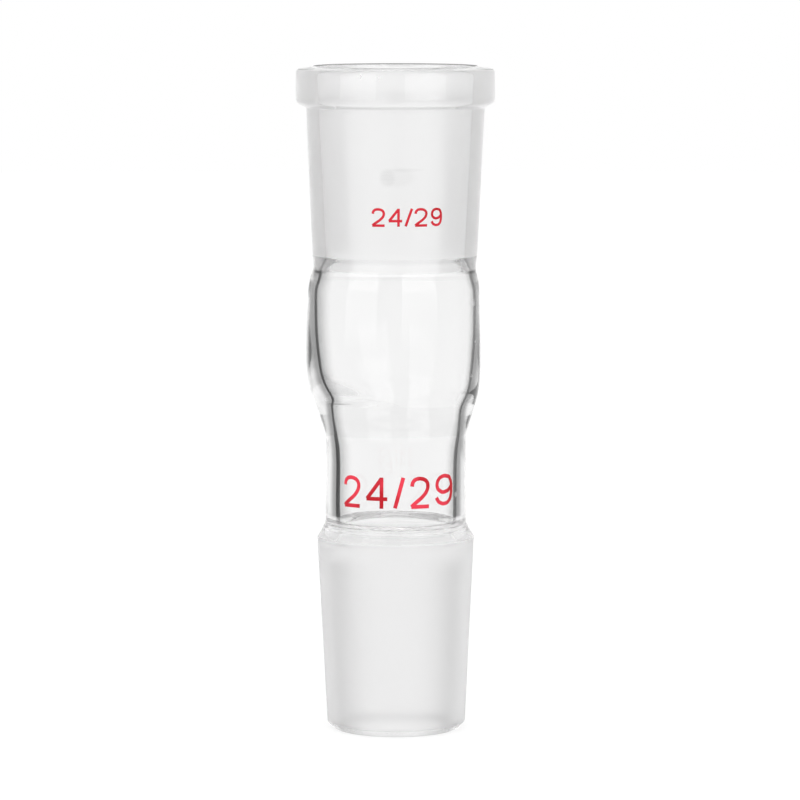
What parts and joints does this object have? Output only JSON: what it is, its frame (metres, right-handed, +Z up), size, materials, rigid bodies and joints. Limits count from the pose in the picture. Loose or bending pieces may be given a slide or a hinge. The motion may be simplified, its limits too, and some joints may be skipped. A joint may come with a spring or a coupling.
{
  "type": "glass joint adapter",
  "caption": "Clear glass tube adapter with a ground taper socket and collar on top, a rounded belly, a narrower neck and a ground taper cone below.",
  "frame": {"origin": "centre of the cone tip's end face, the lowest point of the adapter as it stands", "axes": "+Z up along the axis of both taper joints, from the cone to the socket's mouth"},
  "size_m": [0.0304, 0.0304, 0.1018],
  "materials": {
    "glass": "clear and fire polished, with the inside of the socket and the outside of the cone ground to a fine frost"
  },
  "bodies": {
    "root": {"glass_body": "glass"}
  },
  "joints": []
}
